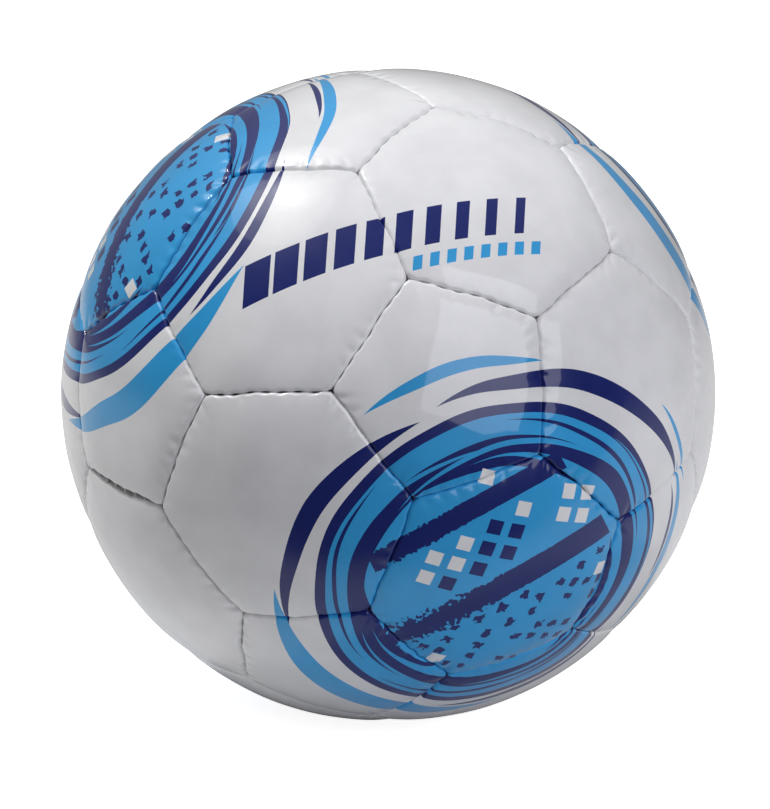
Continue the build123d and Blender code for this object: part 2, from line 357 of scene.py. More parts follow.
def panel_mesh(axis, corners, extra_drop, hole):
    """Points of a panel ring by ring: crown, rolled edge, flange, then back inside."""
    edge, seams, sides, angles = perimeter(axis, corners)
    sine = math.sqrt(1 - (unit(corners[0] + corners[1]) @ axis) ** 2)
    gap = np.zeros(len(edge))
    tug = np.zeros(len(edge))
    shift = np.zeros(len(edge))
    for seam in set(seams):
        here = seams == seam
        gap[here] = stand_back(seam, angles[here])
        shift[here] = stray(seam, sides[here][0], angles[here])
        lean = 1 + SEAM_LEAN[seam] * (1 if sides[here][0] else -1)
        tug[here] = pull(seam, sides[here][0], angles[here]) * lean
    near_corner = (HALF_SEAM - abs(angles)) * STITCH_RADIUS
    tug *= ease(near_corner / PUCKER_FADE)
    reach = sine * BALL_RADIUS                      # from the seam's plane to the axis

    def pillow(nominal):
        return PILLOW_DROP * np.exp(-nominal / PILLOW_REACH)

    def surface(nominal):
        """Outer surface outside the tight roll."""
        x = nominal + (gap + shift) * math.exp(-(nominal - ROLL) / STRAY_REACH)
        way = inset(edge, axis, sine, x, BALL_RADIUS)
        dip = PUCKER_DEPTH * tug * math.exp(-((nominal - ROLL) / PUCKER_REACH) ** 1.5)
        rise = BULGE * (1 - np.clip(tug, 0, 1)) * math.exp(-(nominal / BULGE_REACH) ** 2)
        radius = crown(way, axis) + swell(way) - pillow(nominal) - dip + rise - extra_drop
        return way, radius

    def towards_middle(way, share, hole_angle):
        """Directions that share of the way out from the hole's edge to those."""
        cosine = way @ axis
        angle = hole_angle + (np.arccos(cosine) - hole_angle) * share
        outward = unit(way - axis * cosine[:, None])
        return axis * np.cos(angle)[:, None] + outward * np.sin(angle)[:, None]

    rings = []
    hole_angle = (hole + LIP) / BALL_RADIUS if hole else 0
    if hole:
        side = unit(edge - axis * (edge @ axis)[:, None])
        height = BALL_RADIUS + swell(axis) - extra_drop
        for depth in (COVER, 0.5 * (COVER + LIP)):
            rings.append(axis * (height - depth) + side * hole)
        for turn in np.radians([0, 22, 45, 68]):
            out = hole + LIP * (1 - math.cos(turn))
            rings.append(axis * (height - LIP * (1 - math.sin(turn))) + side * out)
    widest, _ = surface(MIDDLE_SHARE * reach)
    for share in np.linspace(0 if hole else 0.05, 1, MIDDLE_RINGS):
        way = towards_middle(widest, share, hole_angle)
        nominal = reach * (1 - (1 - MIDDLE_SHARE) * share)
        radius = crown(way, axis) + swell(way) - pillow(nominal) - extra_drop
        rings.append(way * radius[:, None])
    for nominal in np.geomspace(0.92 * MIDDLE_SHARE * reach, ROLL, SHOULDER_RINGS):
        way, radius = surface(nominal)
        rings.append(way * radius[:, None])
    way, shoulder = surface(ROLL)
    for turn in np.radians(np.linspace(0, 90, ROLL_STEPS)[1:]):
        x = np.maximum(gap + ROLL * (1 - math.sin(turn)), TOUCHING) + shift
        radius = shoulder - ROLL * (1 - math.cos(turn))
        way = inset(edge, axis, sine, x, radius)
        rings.append(way * radius[:, None])
    foot = shoulder - ROLL
    end = BALL_RADIUS - FLANGE_DEPTH
    for share in (0.2, 0.45, 0.7, 1.0):
        radius = foot + (end - foot) * share
        closing = (1 - share) ** np.where(seams == SLACK, 1.3, 4.0)
        x = SEAM_HALF_GAP + (np.maximum(gap, TOUCHING) - SEAM_HALF_GAP) * closing
        x = np.minimum(x, SEAM_HALF_GAP + FLANGE_OPEN_MOST) + shift
        rings.append(inset(edge, axis, sine, x, radius) * radius[:, None])
    ceiling = foot - ROOF
    for share in (1.0, 0.5, 0.0):
        radius = ceiling + (end - ceiling) * share
        x = SEAM_HALF_GAP + COVER + shift
        rings.append(inset(edge, axis, sine, x, radius) * radius[:, None])
    inner_ways = [(d, inset(edge, axis, sine, np.full(len(edge), d), BALL_RADIUS))
                  for d in (3 * MM, 8 * MM)]
    widest = inner_ways[-1][1]
    for share in (0.75, 0.5, 0.25, 0 if hole else 0.06):
        inner_ways.append((reach, towards_middle(widest, share, hole_angle)))
    for nominal, way in inner_ways:
        radius = crown(way, axis) + swell(way) - pillow(nominal) - extra_drop - COVER
        rings.append(way * radius[:, None])
    if not hole:
        pole = axis * (BALL_RADIUS + swell(axis) - extra_drop)
        rings.append([pole, pole - axis * COVER])
    whole_rings = len(rings) - (0 if hole else 1)
    return np.vstack(rings), ring_faces(whole_rings, len(edge), closed=bool(hole))


def build_panels(material):
    drops = np.random.default_rng(SEED + 1).uniform(0, PANEL_SINK, len(PANELS))
    for (node, axis, corners), drop in zip(PANELS, drops):
        hole = VALVE_HOLE if node == VALVE_NODE else 0
        points, faces = panel_mesh(axis, corners, drop, hole)
        piece = make_object(node + "_leather", points, faces, material)
        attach(piece, "root")
        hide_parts(node)


# ---- Thread -------------------------------------------------------------------------------

THREAD_RADIUS = 0.42 * MM
THREAD_SIDES = 6
THREAD_TWIST = 1.6 * MM         # length of one turn of the two plies
THREAD_SINK = 0.25 * MM         # below the stitch line
THREAD_APART = 0.10 * MM        # the two threads lie side by side
RUN_DIP = 0.12 * MM             # of a run between two holes
CURVE_STEPS = 3


def saddle_path(first_side):
    """One needle's way along a seam, as (angle, across, depth) points: hole, run, hole."""
    points = []
    side = first_side
    for angle in STITCH_ANGLES:
        points.append((angle, side * RUN_OFFSET, 0))
        points.append((angle, side * 0.3 * RUN_OFFSET, 0))
        points.append((angle, -side * 0.3 * RUN_OFFSET, 0))
        points.append((angle, -side * RUN_OFFSET, 0))
        half_step = (STITCH_ANGLES[1] - STITCH_ANGLES[0]) / 2
        if angle != STITCH_ANGLES[-1]:
            points.append((angle + half_step, -side * RUN_OFFSET * 1.02, RUN_DIP))
        side = -side
    return np.array(points)


def smoothed(points, steps):
    """Catmull-Rom curve through the points."""
    padded = np.vstack([2 * points[0] - points[1], points, 2 * points[-1] - points[-2]])
    t = np.arange(steps)[:, None] / steps
    curve = []
    for a, b, c, d in zip(padded, padded[1:], padded[2:], padded[3:]):
        curve.append(0.5 * (2 * b + (c - a) * t + (2 * a - 5 * b + 4 * c - d) * t ** 2
                            + (3 * b - a - 3 * c + d) * t ** 3))
    return np.vstack(curve + [points[-1:]])


def twisted_tube(path):
    """A two-ply thread along the path: a waisted section that turns as it goes."""
    ahead = unit(np.gradient(path, axis=0))
    normal = unit(np.cross(ahead, unit(path)) + 1e-9)
    binormal = np.cross(ahead, normal)
    length = np.concatenate([[0], np.linalg.norm(np.diff(path, axis=0), axis=1).cumsum()])
    around = -np.arange(THREAD_SIDES) / THREAD_SIDES * 2 * math.pi
    phase = length[:, None] / THREAD_TWIST * math.pi
    radius = THREAD_RADIUS * (0.82 + 0.18 * np.cos(2 * (around - phase)))
    ring = (path[:, None] + (radius * np.cos(around))[..., None] * normal[:, None]
            + (radius * np.sin(around))[..., None] * binormal[:, None])
    points = np.vstack([ring.reshape(-1, 3), path[:1], path[-1:]])
    return points, ring_faces(len(path), THREAD_SIDES)


def seam_thread(seam):
    """Both threads of one seam's saddle stitch."""
    start, end = SEAMS[seam]
    middle, tangent = unit(start + end), unit(end - start)
    across = np.cross(middle, tangent)
    points, faces = [], []
    for first_side in (1, -1):
        angle, offset, deeper = smoothed(saddle_path(first_side), CURVE_STEPS).T
        deeper = deeper + first_side * THREAD_APART
        rise = SLACK_RISE if seam == SLACK else 0
        radius = (STITCH_RADIUS + rise - THREAD_SINK - deeper)[:, None]
        way = np.cos(angle)[:, None] * middle + np.sin(angle)[:, None] * tangent
        tube, tube_faces = twisted_tube(way * radius + offset[:, None] * across)
        base = sum(len(p) for p in points)
        points.append(tube)
        faces += [[i + base for i in face] for face in tube_faces]
    return np.vstack(points), faces


def build_thread(material):
    groups = {"pentagon_seam_thread": [], "hexagon_seam_thread": []}
    for seam, middle in enumerate(SEAM_MIDDLES):
        beside_pentagon = (PENTAGONS @ middle).max() > 0.94
        name = "pentagon_seam_thread" if beside_pentagon else "hexagon_seam_thread"
        groups[name].append(seam)
    for node, seams in groups.items():
        points, faces = [], []
        for seam in seams:
            base = sum(len(p) for p in points)
            seam_points, seam_faces = seam_thread(seam)
            points.append(seam_points)
            faces += [[i + base for i in face] for face in seam_faces]
        piece = make_object(node + "_twisted", np.vstack(points), faces, material)
        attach(piece, "root")
        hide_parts(node)


# ---- Foam pads in the bladder -------------------------------------------------------------

PAD_RADIUS = 15.5 * MM
PAD_HALF_THICK = 7.2 * MM
PAD_RING_COUNT = 6
PAD_RING_ANGLE = math.radians(27)
PAD_SQUARENESS = 0.45           # 1 would be an ellipse, 0 a cylinder
PAD_BUMP = 0.22 * MM
PAD_CLEARANCE = 0.3 * MM        # under the lowest pad


def pad_axes():
    """Directions from the ball's centre to the pads: one lowest, with a ring round it."""
    turns = np.arange(PAD_RING_COUNT) / PAD_RING_COUNT * 2 * math.pi
    ring = [(-math.sin(PAD_RING_ANGLE) * math.cos(t), -math.sin(PAD_RING_ANGLE) * math.sin(t),
             -math.cos(PAD_RING_ANGLE)) for t in turns]
    return np.array([(0, 0, -1)] + ring)


def lumps(points, size, random):
    """Smooth unevenness between about -1 and 1 of about that size."""
    total = 0
    for _ in range(5):
        way = unit(random.normal(size=3)) * 2 * math.pi / size
        total = total + np.sin(points @ way + random.uniform(0, 6.28))
    return total / 3


def foam_pad(axis, distance, random):
    side = unit(np.cross(axis, (0.3, 1, 0.2)))
    up = np.cross(axis, side)
    around = np.arange(64) / 64 * 2 * math.pi
    rings = []
    for rise in np.radians(np.linspace(86, -86, 40)):
        out = PAD_RADIUS * math.cos(rise) ** PAD_SQUARENESS
        height = PAD_HALF_THICK * math.copysign(abs(math.sin(rise)) ** PAD_SQUARENESS, rise)
        ring = (np.outer(np.cos(around), side) + np.outer(np.sin(around), up)) * out
        rings.append(ring + axis * height)
    points = np.vstack(rings + [[axis * PAD_HALF_THICK], [-axis * PAD_HALF_THICK]])
    bump = lumps(points, 9 * MM, random) + 0.5 * lumps(points, 3.5 * MM, random)
    points += unit(points) * (bump * PAD_BUMP)[:, None]
    return points + axis * distance, ring_faces(len(rings), len(around))


def build_foam(material):
    random = np.random.default_rng(SEED + 2)
    lowest = -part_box("damping_foam")[0].z
    points, faces = [], []
    for axis in pad_axes():
        pad, pad_faces = foam_pad(axis, lowest - PAD_HALF_THICK - PAD_CLEARANCE, random)
        base = sum(len(p) for p in points)
        points.append(pad)
        faces += [[i + base for i in face] for face in pad_faces]
    piece = make_object("damping_foam_pads", np.vstack(points), faces, material)
    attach(piece, "root")
    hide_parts("damping_foam")


# ---- Node materials -------------------------------------------------------------------------

class Value:
    """A number worked out by nodes, so that patterns can be written as plain arithmetic."""

    def __init__(self, graph, socket):
        self.graph = graph
        self.socket = socket

    def __add__(self, other):
        return self.graph.math("ADD", self, other)

    def __sub__(self, other):
        return self.graph.math("SUBTRACT", self, other)

    def __rsub__(self, other):
        return self.graph.math("SUBTRACT", other, self)

    def __mul__(self, other):
        return self.graph.math("MULTIPLY", self, other)

    def __truediv__(self, other):
        return self.graph.math("DIVIDE", self, other)

    def __lt__(self, other):
        return self.graph.math("LESS_THAN", self, other)

    def __gt__(self, other):
        return self.graph.math("GREATER_THAN", self, other)

    def __abs__(self):
        return self.graph.math("ABSOLUTE", self)

    __radd__ = __add__
    __rmul__ = __mul__


class Graph:
    """The nodes of a material or a world. A number, a Value or a socket may be given as a value."""

    def __init__(self, owner, place="Object"):
        self.owner = owner
        owner.use_nodes = True
        self.nodes = owner.node_tree.nodes
        self.links = owner.node_tree.links
        self.nodes.clear()
        self.place = self.nodes.new("ShaderNodeTexCoord").outputs[place]

    def feed(self, socket, value):
        value = value.socket if isinstance(value, Value) else value
        if isinstance(value, bpy.types.NodeSocket):
            self.links.new(value, socket)
        else:
            socket.default_value = value

    def math(self, operation, *values):
        node = self.nodes.new("ShaderNodeMath")
        node.operation = operation
        for socket, value in zip(node.inputs, values):
            self.feed(socket, value)
        return Value(self, node.outputs[0])

    def vector(self, operation, *values):
        node = self.nodes.new("ShaderNodeVectorMath")
        node.operation = operation
        for socket, value in zip(node.inputs, values):
            self.feed(socket, value)
        return node.outputs["Vector"]

    def dot(self, vector, direction):
        node = self.nodes.new("ShaderNodeVectorMath")
        node.operation = "DOT_PRODUCT"
        self.feed(node.inputs[0], vector)
        self.feed(node.inputs[1], tuple(direction))
        return Value(self, node.outputs["Value"])

    def length(self, vector):
        node = self.nodes.new("ShaderNodeVectorMath")
        node.operation = "LENGTH"
        self.feed(node.inputs[0], vector)
        return Value(self, node.outputs["Value"])

    def scaled(self, vector, scale):
        node = self.nodes.new("ShaderNodeVectorMath")
        node.operation = "SCALE"
        self.feed(node.inputs[0], vector)
        self.feed(node.inputs["Scale"], scale)
        return node.outputs["Vector"]

    def combine(self, x, y, z=0.0):
        node = self.nodes.new("ShaderNodeCombineXYZ")
        for socket, value in zip(node.inputs, (x, y, z)):
            self.feed(socket, value)
        return node.outputs[0]

    def noise(self, size, detail=2.0, warp=0.0):
        """Noise from 0 to 1 with lumps of about that size in metres."""
        node = self.nodes.new("ShaderNodeTexNoise")
        self.feed(node.inputs["Vector"], self.place)
        node.inputs["Scale"].default_value = 1 / size
        node.inputs["Detail"].default_value = detail
        node.inputs["Distortion"].default_value = warp
        return Value(self, node.outputs["Fac"])

    def cells(self, size, feature="F1"):
        """Distance in cells to the nearest point of a scatter, or to a cell's edge."""
        node = self.nodes.new("ShaderNodeTexVoronoi")
        node.feature = feature
        self.feed(node.inputs["Vector"], self.place)
        node.inputs["Scale"].default_value = 1 / size
        return Value(self, node.outputs["Distance"])

    def random(self, place):
        node = self.nodes.new("ShaderNodeTexWhiteNoise")
        node.noise_dimensions = "3D"
        self.feed(node.inputs["Vector"], place)
        return Value(self, node.outputs["Value"])

    def ramp(self, value, start, end, low=0.0, high=1.0):
        """Low up to start, high from end on, and smooth between."""
        node = self.nodes.new("ShaderNodeMapRange")
        node.interpolation_type = "SMOOTHSTEP"
        for socket, number in zip(node.inputs, (value, start, end, low, high)):
            self.feed(socket, number)
        return Value(self, node.outputs[0])

    def mix(self, share, first, second):
        node = self.nodes.new("ShaderNodeMix")
        node.data_type = "RGBA"
        self.feed(node.inputs["Factor"], share)
        self.feed(node.inputs[6], first)
        self.feed(node.inputs[7], second)
        return node.outputs[2]

    def bump(self, height, distance, strength, normal=None):
        node = self.nodes.new("ShaderNodeBump")
        node.inputs["Distance"].default_value = distance
        node.inputs["Strength"].default_value = strength
        self.feed(node.inputs["Height"], height)
        if normal is not None:
            self.feed(node.inputs["Normal"], normal)
        return node.outputs[0]

    def separate(self, vector):
        node = self.nodes.new("ShaderNodeSeparateXYZ")
        self.feed(node.inputs[0], vector)
        return [Value(self, socket) for socket in node.outputs]

    def seen_by_camera(self):
        return Value(self, self.nodes.new("ShaderNodeLightPath").outputs["Is Camera Ray"])

    def shader(self, colour, roughness, normal, **constants):
        node = self.nodes.new("ShaderNodeBsdfPrincipled")
        self.feed(node.inputs["Base Color"], colour)
        self.feed(node.inputs["Roughness"], roughness)
        self.feed(node.inputs["Normal"], normal)
        for name, number in constants.items():
            node.inputs[name.replace("_", " ")].default_value = number
        return node.outputs[0]

    def finish(self, shader, output="ShaderNodeOutputMaterial"):
        self.links.new(shader, self.nodes.new(output).inputs["Surface"])
        return self.owner


def new_graph(name):
    return Graph(bpy.data.materials.new(name))


# ---- The print: rings, arcs, bands and squares round four of the hexagons -------------------

# Towards each motif's hexagon, and towards the pentagon beside it that its x axis points at.
MOTIFS = (((0.34, -0.86, -0.39), (0.18, -0.96, 0.22)),
          ((-0.76, -0.20, 0.62), (-0.81, 0.41, 0.42)),
          ((0.73, 0.45, 0.51), (0.17, 0.67, 0.73)),
          ((-0.31, 0.60, -0.74), (0.13, 0.37, -0.92)))
MOTIF_LIMIT = 0.6               # cosine of the angle from a motif's middle

# The mark: ten slanted blocks and eight small ones under them, in millimetres.
MARK_DIRECTION = (0.02, -0.765, 0.644)
MARK_ALONG = (0.951, 0.064, 0.302)
SLANT = 0.35
BLOCK_START = -46
BLOCK_PITCH = 9.2
BLOCK_HALF_HEIGHT = 6.2
SMALL_START = 6
SMALL_PITCH = 5.2
SMALL_UP = -11
SMALL_HALF_HEIGHT = 2.1

# Millimetres over the surface from a motif's middle.
RING_OUTSIDE = 57
RING_INSIDE = 54
INNER_RING = 44.8
INNER_RING_HALF_WIDTH = 2.7
BANDS_REACH = 42.5

# Arcs that taper to points: middle and half span in degrees, then radius, width and drift
# outwards in millimetres.
NAVY_OUTER = ((44, 50, 65.5, 6.0, 5.0), (-54, 42, 63.5, 6.0, -5.0),
              (174, 30, 60.3, 3.6, 1.5), (110, 16, 66.0, 1.8, -2.0))
BLUE_OUTER = ((2, 26, 70.2, 4.0, -1.2), (118, 30, 69.0, 3.8, -3.5),
              (230, 48, 67.0, 9.2, 3.0), (84, 14, 74.0, 1.8, 0.0))
BLUE_CUTS = ((20, 58, 45.5, 1.7, 3.0), (-30, 40, 47.0, 1.3, -3.5), (150, 52, 44.0, 1.9, 3.0),
             (215, 46, 47.5, 1.5, -3.0), (95, 36, 55.6, 1.1, 2.0))
NAVY_CUTS = ((60, 46, 50.5, 1.5, -2.5), (-75, 40, 51.5, 1.3, 2.5), (185, 50, 50.0, 1.6, 3.0),
             (250, 34, 40.0, 3.0, 4.0), (15, 40, 39.6, 3.2, -4.0), (130, 36, 39.0, 2.6, 3.5))

BAND_TURN = math.radians(78)    # how the bands lie across a motif
BAND_WIDTH = 8.5
FIRST_BAND_HALF = 38            # half the length of a band
SECOND_BAND_WIDTH = 0.76 * BAND_WIDTH
SECOND_BAND_HALF = 33
BAND_BOW = 0.0035               # how much the bands bend, per millimetre
SECOND_BAND = 29.0              # from the motif's middle
GRID_TURN = math.radians(33)
GRID_PITCH = 7.1
SQUARE_SHARE = 0.32             # half a square's side, as a share of the pitch
SPECK_PITCH = 5.4
SQUARES_REACH = 37.5            # from the motif's middle to the furthest square's


def motif_place(g, way):
    """(x, y, distance) from the middle of the nearest motif, in millimetres over the surface."""
    x, y, cosine = 0, 0, 0
    hexagons = np.array([axis for _, axis, corners in PANELS if len(corners) == 6])
    for direction, beside in MOTIFS:
        axis = hexagons[(hexagons @ np.array(direction)).argmax()]
        pentagon = PENTAGONS[(PENTAGONS @ np.array(beside)).argmax()]
        side = unit(pentagon - axis * (pentagon @ axis))
        closeness = g.dot(way, axis)
        near = closeness > MOTIF_LIMIT
        cosine = near * closeness + cosine
        x = near * g.dot(way, side) + x
        y = near * g.dot(way, np.cross(side, axis)) + y
    angle = g.math("ARCCOSINE", cosine)
    distance = angle * (BALL_RADIUS / MM)
    stretch = distance / g.math("SINE", angle)
    return x * stretch, y * stretch, distance


def arcs(g, heading, radius, shapes):
    """Where any of the tapered arcs is printed."""
    printed = 0
    for middle, half_span, arc_radius, width, drift in shapes:
        turn = math.radians(middle)
        along = g.dot(heading, (math.cos(turn), math.sin(turn), 0))
        beside = g.dot(heading, (-math.sin(turn), math.cos(turn), 0))
        limit = math.cos(math.radians(half_span))
        half_width = (along - limit) * (width / 2 / (1 - limit))
        off = abs(radius - arc_radius - beside * drift)
        printed = g.math("MAXIMUM", off < half_width, printed)
    return printed


def squares(g, x, y, pitch, half_share, seed):
    """Squares of a turned grid: (where they are, a random number and the middle of each)."""
    cosine, sine = math.cos(GRID_TURN), math.sin(GRID_TURN)
    p = (x * cosine + y * sine) / pitch
    q = (y * cosine - x * sine) / pitch
    column, row = g.math("FLOOR", p), g.math("FLOOR", q)
    inside = g.math("MAXIMUM", abs(p - column - 0.5), abs(q - row - 0.5)) < half_share
    chance = g.random(g.combine(column, row, seed))
    middle_x = ((column + 0.5) * cosine - (row + 0.5) * sine) * pitch
    middle_y = ((column + 0.5) * sine + (row + 0.5) * cosine) * pitch
    return inside, chance, middle_x, middle_y


def band_place(x, y):
    """(along, across) the bowed bands that cross a motif."""
    along = x * math.cos(BAND_TURN) + y * math.sin(BAND_TURN)
    across = x * math.sin(BAND_TURN) - y * math.cos(BAND_TURN)
    return along, across + along * along * BAND_BOW


def motif(g, way, base):
    """The motif's inks over the base colour."""
    x, y, radius = motif_place(g, way)
    ragged = g.noise(1.5 * MM, 2)
    place = g.combine(x, y)
    wobble = g.noise(22 * MM, 0) * 2.4 - 1.2
    round_radius = radius + wobble
    heading = g.vector("NORMALIZE", place)

    inks = g.mix(arcs(g, heading, round_radius, NAVY_OUTER), base, NAVY)
    inks = g.mix(arcs(g, heading, round_radius, BLUE_OUTER), inks, BLUE)
    inks = g.mix(round_radius < RING_OUTSIDE, inks, NAVY)
    inks = g.mix(round_radius < RING_INSIDE, inks, BLUE)
    inks = g.mix(arcs(g, heading, round_radius, NAVY_CUTS), inks, NAVY)
    inks = g.mix(abs(round_radius - INNER_RING) < INNER_RING_HALF_WIDTH, inks, NAVY)
    inks = g.mix(arcs(g, heading, round_radius, BLUE_CUTS), inks, BLUE)

    along, bowed = band_place(x, y)
    torn = (ragged - 0.5) * g.ramp(along, 12.0, -34.0, 0.6, 13.0)
    inside = radius < BANDS_REACH
    first = (abs(bowed + torn) < BAND_WIDTH / 2) * (abs(along + 2) < FIRST_BAND_HALF)
    beside = abs(bowed - SECOND_BAND + torn * 0.4)
    second = (beside < SECOND_BAND_WIDTH / 2) * (abs(along) < SECOND_BAND_HALF)
    bands = g.math("MAXIMUM", first, second) * inside
    inks = g.mix(bands, inks, NAVY)

    square, chance, middle_x, middle_y = squares(g, x, y, GRID_PITCH, SQUARE_SHARE, 3.0)
    along, bowed = band_place(middle_x, middle_y)
    inside = g.length(g.combine(middle_x, middle_y)) < SQUARES_REACH
    between = (bowed > BAND_WIDTH / 2 + 2) * (abs(bowed - SECOND_BAND) > BAND_WIDTH / 2 + 2)
    field = between * inside * (along > -22) * square
    inks = g.mix(field * (chance < 0.30), inks, NAVY)
    inks = g.mix(field * (chance > 0.60), inks, WHITE)

    speck_x = x + (g.noise(2.4 * MM, 1) - 0.5) * 3.6
    speck_y = y + (ragged - 0.5) * 3.6
    speck, chance, middle_x, middle_y = squares(g, speck_x, speck_y, SPECK_PITCH, 0.25, 8.0)
    beyond = band_place(middle_x, middle_y)[1] < -BAND_WIDTH / 2 - 1.5
    inside = g.length(g.combine(middle_x, middle_y)) < SQUARES_REACH
    inks = g.mix(beyond * inside * speck * (chance < 0.62), inks, NAVY)
    square, chance, middle_x, middle_y = squares(g, x, y, 1.9 * GRID_PITCH, 0.17, 21.0)
    beyond = band_place(middle_x, middle_y)[1] < -BAND_WIDTH / 2 - 3
    inside = g.length(g.combine(middle_x, middle_y)) < SQUARES_REACH
    return g.mix(beyond * inside * square * (chance < 0.42), inks, WHITE)


def mark(g, way, base):
    """A plain row of slanted blocks that narrow along it, and a short row under them."""
    middle = unit(np.array(MARK_DIRECTION))
    side = np.array(MARK_ALONG)
    side = unit(side - middle * (side @ middle))
    along = g.dot(way, side * BALL_RADIUS / MM)
    up = g.dot(way, np.cross(middle, side) * BALL_RADIUS / MM)
    here = g.dot(way, middle) > 0.8
    step = (along - up * SLANT - BLOCK_START) / BLOCK_PITCH
    block = g.math("FRACT", step) < 0.86 - g.math("FLOOR", step) * 0.06
    row = (abs(step - 5) < 5) * (abs(up) < BLOCK_HALF_HEIGHT) * block * here
    inks = g.mix(row, base, NAVY)
    step = (along - up * SLANT - SMALL_START) / SMALL_PITCH
    block = g.math("FRACT", step) < 0.55
    row = (abs(step - 4) < 4) * (abs(up - SMALL_UP) < SMALL_HALF_HEIGHT) * block * here
    return g.mix(row, inks, BLUE)


# ---- Materials ------------------------------------------------------------------------------

def leather():
    """Glossy white polyurethane leather with the print under its clear top coat."""
    g = new_graph("printed_leather")
    way = g.vector("NORMALIZE", g.place)
    tint = g.mix(g.noise(30 * MM, 3), (0.80, 0.80, 0.815, 1), (0.835, 0.835, 0.84, 1))
    speckle = g.ramp(g.noise(0.8 * MM, 2, warp=1.5), 0.30, 0.70, 0.0, 0.05)
    tint = g.mix(speckle, tint, (0.62, 0.63, 0.67, 1))
    colour = mark(g, way, motif(g, way, tint))
    colour = g.scaled(colour, g.ramp(g.noise(14 * MM, 3), 0.3, 0.7, 0.95, 1.03))
    # Dirt and painted shade: the leather greys with depth into the seams, where shade falls in the
    # grooves.
    depth = BALL_RADIUS / MM - g.length(g.place) / MM
    seam_dirt_and_shade = g.ramp(depth, 1.7, 3.4, 0.0, 0.55) * g.ramp(g.noise(3 * MM, 3), 0.2, 0.75, 0.6, 1.0)
    colour = g.mix(seam_dirt_and_shade, colour, SEAM_DIRT_AND_SHADE_GREY)
    roughness = g.ramp(g.noise(9 * MM, 4, warp=0.8), 0.25, 0.8, 0.30, 0.42)
    grain = g.bump(g.cells(0.55 * MM), 0.05 * MM, 0.10)
    peel = g.bump(g.noise(2.6 * MM, 2, warp=1.5), 0.10 * MM, 0.13, grain)
    return g.finish(g.shader(colour, roughness, peel, Coat_Weight=0.9, Coat_Roughness=0.045,
                    Coat_IOR=1.4, Specular_IOR_Level=0.2))


def thread_material():
    g = new_graph("waxed_thread")
    fibre = g.noise(0.25 * MM, 3)
    colour = g.mix(fibre, (0.42, 0.42, 0.42, 1), (0.78, 0.78, 0.76, 1))
    colour = g.mix(g.noise(5 * MM, 2), colour, (0.60, 0.60, 0.60, 1))
    roughness = g.ramp(g.noise(1.5 * MM, 2), 0.2, 0.8, 0.35, 0.65)
    return g.finish(g.shader(colour, roughness, g.bump(fibre, 0.08 * MM, 0.6),
                             Sheen_Weight=0.3, Sheen_Roughness=0.4))


def rubber(name, dark, light, shine):
    """Moulded or rolled rubber with a bloom of talc."""
    g = new_graph(name)
    talc = g.ramp(g.noise(16 * MM, 5), 0.45, 0.75)
    streak = g.ramp(g.noise(1.2 * MM, 4), 0.35, 0.8)
    colour = g.mix(talc * streak, dark, light)
    colour = g.mix(g.noise(40 * MM, 2) * 0.3, colour, light)
    roughness = g.ramp(g.noise(6 * MM, 3), 0.2, 0.8, shine, shine + 0.22)
    grain = g.bump(g.noise(0.5 * MM, 3), 0.06 * MM, 0.35)
    dimples = g.bump(g.cells(2.2 * MM, "SMOOTH_F1"), 0.08 * MM, 0.2, grain)
    return g.finish(g.shader(colour, roughness, dimples, Specular_IOR_Level=0.4))


def cube_place(g):
    """Two coordinates over the ball that a weave can follow: those of the nearest cube face."""
    x, y, z = g.separate(g.vector("NORMALIZE", g.place))
    across_x = (abs(x) > abs(y)) * (abs(x) > abs(z))
    across_y = (abs(y) > abs(z)) * (1 - across_x)
    across_z = 1 - across_x - across_y
    face = across_x * abs(x) + across_y * abs(y) + across_z * abs(z)
    first = across_x * y + (1 - across_x) * x
    second = across_z * y + (1 - across_z) * z
    size = BALL_RADIUS
    return (g.math("ARCTANGENT", first / face) * size, g.math("ARCTANGENT", second / face) * size)


def cloth():
    """Plain-woven polyester and cotton, laminated with latex."""
    g = new_graph("woven_cloth")
    pitch = 0.55 * MM
    first, second = cube_place(g)
    warp = g.math("SINE", first * (math.pi / pitch))
    weft = g.math("SINE", second * (math.pi / pitch))
    over = warp * weft
    yarn_height_and_shade = g.ramp(abs(warp) + abs(weft) * 0.6 + over * 0.4, 0.2, 1.5)
    # Painted shade: the cloth is coloured dark in the gaps between the yarns, which the bump sets lower,
    # and light on their crests.
    colour = g.mix(yarn_height_and_shade, (0.44, 0.42, 0.37, 1), (0.80, 0.78, 0.72, 1))
    colour = g.mix(g.noise(12 * MM, 4) * 0.35, colour, (0.66, 0.60, 0.47, 1))
    roughness = g.ramp(g.noise(2 * MM, 2), 0.2, 0.8, 0.78, 0.95)
    return g.finish(g.shader(colour, roughness, g.bump(yarn_height_and_shade, 0.15 * MM, 0.7),
                             Sheen_Weight=0.25, Sheen_Roughness=0.5))


def foam(name, dark, light, pore):
    """Open-cell foam with pores of about that size."""
    g = new_graph(name)
    large = g.cells(pore, "DISTANCE_TO_EDGE")
    small = g.cells(0.45 * pore)
    # Painted shade: the hollows of the pores are coloured dark, the cell walls between them light.
    pore_depth_and_shade = g.ramp(large, 0.02, 0.22)
    colour = g.mix(pore_depth_and_shade, light, dark)
    colour = g.mix(g.noise(14 * MM, 3) * 0.4, colour, light)
    roughness = g.ramp(g.noise(4 * MM, 2), 0.2, 0.8, 0.8, 0.95)
    walls = g.bump(1 - pore_depth_and_shade, 0.25 * MM, 0.8)
    return g.finish(g.shader(colour, roughness, g.bump(small, 0.1 * MM, 0.4, walls),
                             Sheen_Weight=0.1))


def give(material, *nodes):
    """The material for CAD nodes that keep their shape."""
    for node in nodes:
        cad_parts[node].data.materials.clear()
        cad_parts[node].data.materials.append(material)


# ---- Lights, camera, floor and room -------------------------------------------------------------

